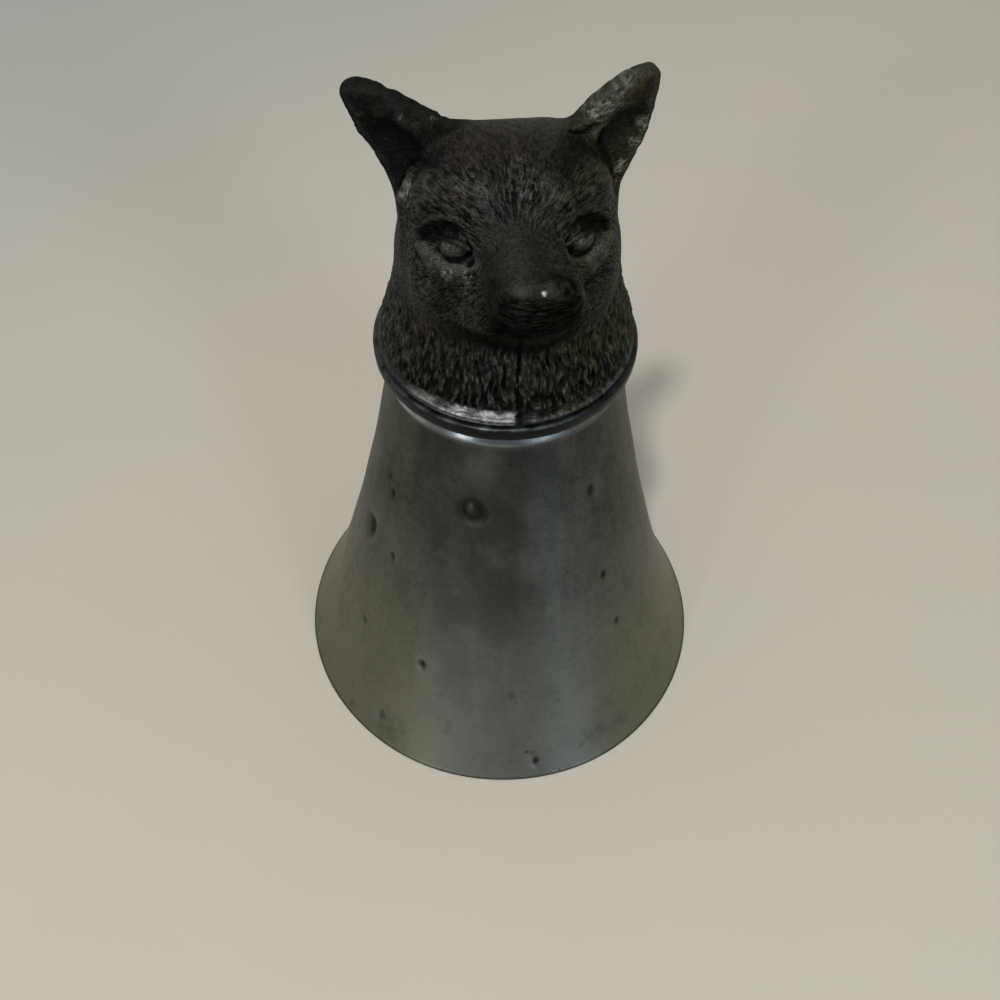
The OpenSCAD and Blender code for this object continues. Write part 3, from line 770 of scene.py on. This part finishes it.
def headForms(p):  # the distance to the head's skin, and the forms that the masks ask for
    forms = {}
    x, y, z = p.parts()
    q = p.joined(abs(x), y, z)  # the same on both sides
    aside = p.joined(abs(x - fox["nose"][1][0]), y, z)  # the same on both sides of the nose
    side = x.math("SIGN")

    def shaped(body, sign, shape, spot, name):  # adds a form, or cuts it out
        soft, *sizes = fox[name]
        forms[name] = shape(spot, *sizes)
        return body.least(forms[name], soft) if sign > 0 else body.most(-forms[name], soft)

    # skull and ruff
    skull = egg(p.joined((abs(x) - fox["skullFlat"]).most(0.0), y, z), *fox["skull"])
    rise = z - fox["ruffLow"]
    radial = p.joined(x, y, 0.0).vec("LENGTH")
    sideHang, leftHang = fox["hang"]
    hang = (abs(x) / radial.most(1.0)).ramp(0.55, 0.95) * sideHang + x.ramp(0.0, 3.0) * leftHang
    hang = hang * z.ramp(*fox["hangHeight"])
    halfX = fox["ruff"] + hang - rise * fox["ruffTaperX"]
    halfY = fox["ruff"] + hang - rise * fox["ruffTaperY"]
    cone = ((x / halfX) ** 2.0 + ((y + rise * fox["ruffBack"]) / halfY) ** 2.0).math("SQRT")
    ruff = ((cone - 1) * halfY).most(z - fox["ruffTop"], fox["ruffSoft"])
    body = skull.least(ruff, fox["ruffSoft"])
    # face, from the cheeks to the lids
    for step in (
        (1, egg, q, "cheek"), (1, egg, p, "muzzleRoot"), (1, snout, p, "muzzle"), (1, egg, p, "flank"),
        (1, bar, p, "bridge"), (1, arc, p, "lip"), (1, egg, p, "nose"), (-1, arc, p, "mouth"),
        (-1, bar, aside, "nostril"), (1, bar, q, "brow"), (-1, dip, q, "bag"), (1, arc, q, "pouch"),
        (-1, egg, q, "eyePit"), (-1, ball, q, "eyeCorner"), (-1, arc, q, "crease"), (1, egg, q, "eye"),
        (1, arc, q, "lid"),
    ):
        body = shaped(body, *step)
    # ears, the fox's right one leaning out a little more
    leanOut, leanDown = fox["earLean"]
    lean = (0.5 - side * 0.5) * z.ramp(*fox["earLeanFrom"])
    ear, rim = earShape(p.joined(abs(x) - lean * leanOut, y, z + lean * leanDown), side, z)
    ear = ear + (p.noise(0.8, 3.0, 0.6) - 0.5) * fox["earWaver"] * z.ramp(*fox["earWaverFrom"])
    body = body.least(ear, fox["earSoft"])
    body = shaped(body, -1, bar, p, "earCrease")
    body = shaped(body, 1, bar, p, "tuft")
    # foot flange with a step at the seam, then the flat bottom and the hollow inside
    footTop = fox["footTop"] - x.ramp(-0.3, 0.3) * fox["footStep"]
    footTop = footTop + (p.noise(0.9, 2.0) - 0.5) * fox["footWaver"]
    foot = (radial - fox["foot"]).most(z - footTop, fox["footEdge"])
    body = body.least(foot, fox["footSoft"])
    body = body.most(fox["bottom"] - z).most(-egg(p, *fox["cavity"]))
    # seam left by the two-part mould
    seam = (1 - abs(x) / fox["seamHalf"]).most(0.0) * z.ramp(*fox["seamTop"]) * y.ramp(*fox["seamDepth"])
    forms.update(onEar=ear.ramp(0.25, 0.05) * z.ramp(65.0, 67.0), rim=rim, radial=radial, side=side)
    return body + seam, forms


def furMask(p, forms):  # no fur on eyes, lids, mouth and foot, less on nose, pouches, ears and crown
    y, z = p.parts()[1:]
    furry = forms["eye"].ramp(0.1, 0.5) * forms["lid"].ramp(0.0, 0.4)
    furry = furry * forms["nose"].ramp(-0.1, 0.4, 0.3, 1.0) * forms["mouth"].ramp(0.0, 0.5)
    furry = furry * (1 - forms["onEar"] * fox["earSmooth"])
    furry = furry * forms["pouch"].ramp(-0.1, 0.4, 0.15, 1.0) * z.ramp(50.1, 50.7)
    return furry * (1 - y.ramp(-4.8, -2.0) * z.ramp(68.0, 69.5) * fox["crownSmooth"])


def lipMask(p, normal):  # the front of the muzzle under the nose, where painted shade lies
    x, y, z = p.parts()
    front = normal.parts()[1].ramp(-0.20, -0.55) * y.ramp(-9.5, -10.5)
    return front * z.ramp(65.5, 64.7) * z.ramp(58.8, 59.8) * x.ramp(-3.4, -1.8)


def shadeAndDarkeningMask(p, forms, strokes, normal):  # painted shade under the chin and throat, on the nose's lower front, in the eye creases and along the listed lines; darker on the ears, most on the fox's right, and on the bridge
    y, z = p.parts()[1:]
    # painted shade on faces turned down under the chin, and under the throat
    chin = normal.parts()[2].ramp(0.2, -0.4) * (y + 9.0).ramp(1.5, -1.0) * z.ramp(60.2, 59.4) * 0.75
    throat = egg(p, *fox["throat"]).ramp(1.4, -0.2) * z.ramp(60.9, 59.7) * (0.35 + strokes * 0.5)
    patchy = p.noise(1.1, 3.0, 0.6).ramp(0.30, 0.55, 0.45, 1.0)
    # painted shade on the nose's lower front
    nose = forms["nose"].ramp(0.7, -0.1) * z.ramp(65.6, 64.9, 0.35, 0.9) * patchy
    ears = forms["onEar"] * (0.44 - forms["side"] * 0.24)  # more on the fox's right
    dirt = chin.most(throat).most(nose).most(ears)
    # painted shade in the eye creases; the bridge is only made darker
    dirt = dirt.most(forms["crease"].ramp(0.40, -0.15) * 0.8).most(forms["bridge"].ramp(0.6, -0.4) * 0.26)
    # painted shade along the listed lines
    for begin, end, reach, strength in fox["shades"]:
        shade = bar(p, begin, end, 0.0).ramp(reach, reach * 0.2) * strength
        dirt = dirt.most(shade * p.noise(1.3, 3.0, 0.6).ramp(0.34, 0.56, 0.4, 1.0))
    return dirt


def bareAndHighlightMask(p, forms):  # bright metal on the ledge of the foot, most of it at the fox's right front, painted brightest where the light falls; and a painted highlight on the nose
    x, y, z = p.parts()
    radial = forms["radial"]
    right = z.ramp(50.6, 50.2) * x.ramp(0.2, -0.2) * (radial - 10.6).ramp(0.0, 0.4)
    right = right * y.ramp(-5.5, -10.8, 0.06, 1.0) * (abs(z - fox["footLine"]).ramp(0.05, 0.15) * 0.85 + 0.15)
    right = right * z.ramp(49.46, 49.60) * p.noise(0.7, 2.0).ramp(0.30, 0.55, 0.35, 1.0)
    left = z.ramp(50.4, 50.1) * x.ramp(0.2, 1.2) * (radial - 11.0).ramp(0.0, 0.4)
    left = left * p.noise(1.1, 2.0).ramp(0.4, 0.6) * 0.20
    # painted highlight: a white speck on the nose
    glintX, glintY, size = fox["glint"]
    glint = p.joined(x - glintX, y - glintY, 0.0).vec("LENGTH").ramp(size, size * 0.5)
    return right.most(left).most(glint * z.ramp(*fox["glintAbove"]))


def rubMask(p, forms):  # spots rubbed by hands
    rubbed = forms["rim"] * (0.55 + forms["side"] * 0.45)
    rubbed = rubbed.most(forms["eye"].ramp(0.2, 0.0) * 0.8).most(forms["pouch"].ramp(0.5, 0.0) * 0.6)
    for spot, size, strength in fox["rubs"]:
        rubbed = rubbed.most(ball(p, spot, 0.0).ramp(size, size * 0.3) * strength * 2.0)
    return rubbed


def headTree():
    tree, start = newTree("foxHead", [
        ("Voxel", "Float"), ("Fur Depth", "Float"), ("Ruff Depth", "Float"), ("Material", "Material")])
    p = start.node("GeometryNodeInputPosition")
    normal = start.node("GeometryNodeInputNormal")
    body, forms = headForms(p)
    sockets = {"Density": 1.0 - body, "Background": 0.0, "Min": fox["low"], "Max": fox["high"]}
    for axis, low, high in zip("XYZ", fox["low"], fox["high"]):
        sockets["Resolution " + axis] = ((high - low) / start.also("Voxel")).math("ROUND")
    volume = start.node("GeometryNodeVolumeCube", {}, sockets)
    shape = start.node("GeometryNodeVolumeToMesh", {"resolution_mode": "GRID"},
                       {"Volume": volume, "Threshold": 1.0, "Adaptivity": 0.0})
    strokes, ruffShare = furField(p)
    furry = furMask(p, forms)
    faceDepth, ruffDepth = start.also("Fur Depth"), start.also("Ruff Depth")
    depth = (faceDepth + (ruffDepth - faceDepth) * ruffShare) * furry
    around = start.node("GeometryNodeBlurAttribute", {"data_type": "FLOAT_VECTOR"},
                        {"Value": p, "Iterations": fox["hollowBlur"], "Weight": 1.0})
    hollow = around.vec("SUBTRACT", p).vec("DOT_PRODUCT", normal)
    masks = {"furry": furry, "bare": bareAndHighlightMask(p, forms), "shelter": shadeAndDarkeningMask(p, forms, strokes, normal),
             "rubbed": rubMask(p, forms), "hollow": hollow, "front": lipMask(p, normal)}
    for label, value in masks.items():
        shape = shape.geo("StoreNamedAttribute", Name=label, Value=value)
    shape = shape.geo("SetPosition", Offset=normal.vec("SCALE", (strokes - 0.5) * depth))
    endTree(shape.geo("Transform", Scale=(mm, mm, mm)), start)
    return tree


def makeHead():
    voxel = fox["voxel"] * 1.0
    whole = treeMesh("foxHead", headTree(), {
        "Voxel": voxel, "Fur Depth": fur["faceDepth"], "Ruff Depth": fur["ruffDepth"],
        "Material": headMaterial})
    print("head sculpted:", len(whole.vertices), "points")
    for name, node, keep in (("headLeft", "head_left", 1), ("headRight", "head_right", -1)):
        half = bmesh.new()
        half.from_mesh(whole)
        cut = bmesh.ops.bisect_plane(half, geom=half.verts[:] + half.edges[:] + half.faces[:], dist=1e-7,
                                     plane_co=(0, 0, 0), plane_no=(keep, 0, 0), clear_inner=True)
        edges = [e for e in cut["geom_cut"] if isinstance(e, bmesh.types.BMEdge)]
        for edge in edges:
            edge.smooth = False
        filled = bmesh.ops.triangle_fill(half, use_beauty=True, edges=edges)["geom"]
        for face in filled:
            if isinstance(face, bmesh.types.BMFace):
                face.normal_update()
                face.smooth = False
                if face.normal.x * keep > 0:
                    face.normal_flip()
        mesh = bpy.data.meshes.new(name)
        half.to_mesh(mesh)
        half.free()
        mesh.materials.append(headMaterial)
        newPiece(name, mesh, node)


makeHead()

for node in ("neck_solder", "seam_solder"):
    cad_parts[node].data.materials.clear()
    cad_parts[node].data.materials.append(solderMaterial)

# Table, light and camera
studio = {
    "floor": (0.366, 0.331, 0.276, 1), "floorFar": (0.294, 0.293, 0.267, 1), "floorSize": 2.4,
    "floorShadeFade": (40.0, 250.0), "floorGrain": 0.12, "floorRough": 0.75,
    "front": (0.112, 0.128, 0.138, 1), "sides": (0.83, 0.81, 0.66, 1), "zenith": (0.56, 0.60, 0.64, 1),
    "sidesFrom": (0.35, 0.85), "backFrom": (0.0, 0.5), "zenithFrom": (0.0, 0.9), "aim": 0.035,
    "key": dict(angle=-25.0, height=63.5, away=0.55, size=0.04, level=2.25, colour=(1.0, 0.97, 0.92)),
    "cool": dict(angle=28.0, height=30.0, away=0.55, size=0.12, level=0.95, colour=(0.74, 0.90, 1.0)),
    "side": dict(angle=-40.0, height=30.0, away=0.55, size=0.08, level=0.62, colour=(0.90, 0.97, 1.0)),
}


def makeFloor():
    half = studio["floorSize"] / 2
    mesh = bpy.data.meshes.new("floor")
    corners = [(-half, -half, 0), (half, -half, 0), (half, half, 0), (-half, half, 0)]
    mesh.from_pydata(corners, [], [(0, 1, 2, 3)])
    floor = bpy.data.objects.new("floor", mesh)
    scene.collection.objects.link(floor)
    material, shader, place = newMaterial("paleTable", {"Roughness": studio["floorRough"]})
    grain = place.noise(0.05, 4, 0.5).ramp(0.2, 0.8) * studio["floorGrain"]
    x, y = place.parts()[:2]
    # painted shade: the floor darker towards the back left, as the light falls off
    pale = (y - x).ramp(*studio["floorShadeFade"]).mixed(studio["floor"], studio["floorFar"])
    grain.mixed(pale, studio["floorFar"]).into(shader, "Base Color")
    mesh.materials.append(material)


def makeLamp(name, angle, height, away, size, level, colour):
    a, e = math.radians(angle), math.radians(height)
    back = Vector((math.sin(a) * math.cos(e), -math.cos(a) * math.cos(e), math.sin(e)))
    lamp = bpy.data.lights.new(name, "AREA")
    lamp.shape = "DISK"
    lamp.size = size
    lamp.energy = level
    lamp.color = colour
    holder = bpy.data.objects.new(name, lamp)
    holder.location = back * away + Vector((0, 0, studio["aim"]))
    holder.rotation_euler = back.to_track_quat("Z", "Y").to_euler()
    scene.collection.objects.link(holder)


def makeSky():
    world = bpy.data.worlds.new("studio")
    world.use_nodes = True
    sky = next(n for n in world.node_tree.nodes if n.type == "BACKGROUND")
    across, along, up = Wire(world.node_tree).node("ShaderNodeTexCoord", {}, {}, "Generated").parts()
    beside = abs(across).ramp(*studio["sidesFrom"]).most(along.ramp(*studio["backFrom"]))
    low = beside.mixed(studio["front"], studio["sides"])  # dark where the viewer stands
    up.ramp(*studio["zenithFrom"]).mixed(low, studio["zenith"]).into(sky, "Color")
    scene.world = world


makeFloor()
makeSky()
for name in ("key", "cool", "side"):
    makeLamp(name + "Lamp", **studio[name])

# Camera fitted to the photograph: stands off in front, turned a little from the fox's own front
view = {"standOff": 74.48, "height": 122.48, "pitch": 53.239, "yaw": -0.184, "roll": 1.025, "turn": 6.5,
        "focal": 1.1, "sensor": 36.0, "near": 0.005}


def makeCamera():
    pitch, yaw, roll = (math.radians(view[k]) for k in ("pitch", "yaw", "roll"))
    ahead = Vector((math.sin(yaw) * math.cos(pitch), math.cos(yaw) * math.cos(pitch), -math.sin(pitch)))
    right = ahead.cross(Vector((0, 0, 1))).normalized()
    up = right.cross(ahead)
    right, up = right * math.cos(roll) + up * math.sin(roll), up * math.cos(roll) - right * math.sin(roll)
    turned = Matrix.Rotation(-math.radians(view["turn"]), 4, "Z")
    lens = bpy.data.cameras.new("photoCamera")
    lens.sensor_width = view["sensor"]
    lens.lens = view["sensor"] * view["focal"]
    lens.clip_start = view["near"]
    camera = bpy.data.objects.new("photoCamera", lens)
    place = Matrix((right, up, -ahead)).transposed().to_4x4()
    place.translation = Vector((0, -view["standOff"] * mm, view["height"] * mm))
    camera.matrix_world = turned @ place
    scene.collection.objects.link(camera)
    scene.camera = camera


makeCamera()
scene.view_settings.view_transform = "Standard"
print("studio ready")
